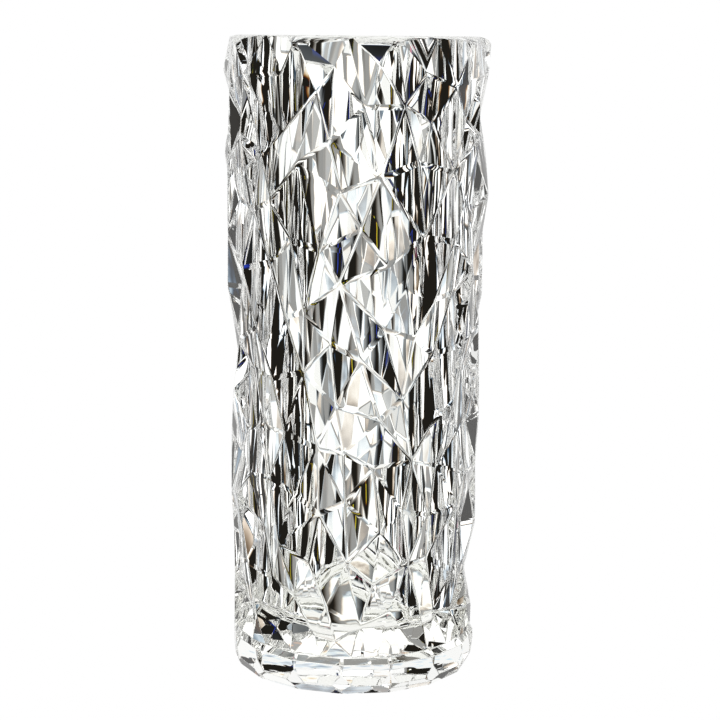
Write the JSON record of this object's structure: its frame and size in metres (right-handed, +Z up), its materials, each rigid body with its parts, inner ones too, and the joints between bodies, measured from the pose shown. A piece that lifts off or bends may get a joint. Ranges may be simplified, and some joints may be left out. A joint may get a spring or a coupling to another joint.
{
  "type": "cut crystal vase",
  "caption": "Tall straight cylinder vase in thick clear crystal, cut all over with irregular star facets, with a round bore and a panelled foot below a V groove.",
  "frame": {"origin": "centre of the underside of the foot, on the surface where the vase stands", "axes": "+Z up along the bore, -Y towards the front"},
  "size_m": [0.1249, 0.1252, 0.3],
  "materials": {
    "crystal": "polished clear crystal, flat cut facets with fine rounded creases",
    "crystal_foot": "polished clear crystal, flat panels with ground and polished bevels",
    "clear_adhesive": "clear optical adhesive with the refractive index of the crystal"
  },
  "bodies": {
    "root": {"cut_body": "crystal", "foot": "crystal_foot", "bond_film": "clear_adhesive"}
  },
  "joints": []
}
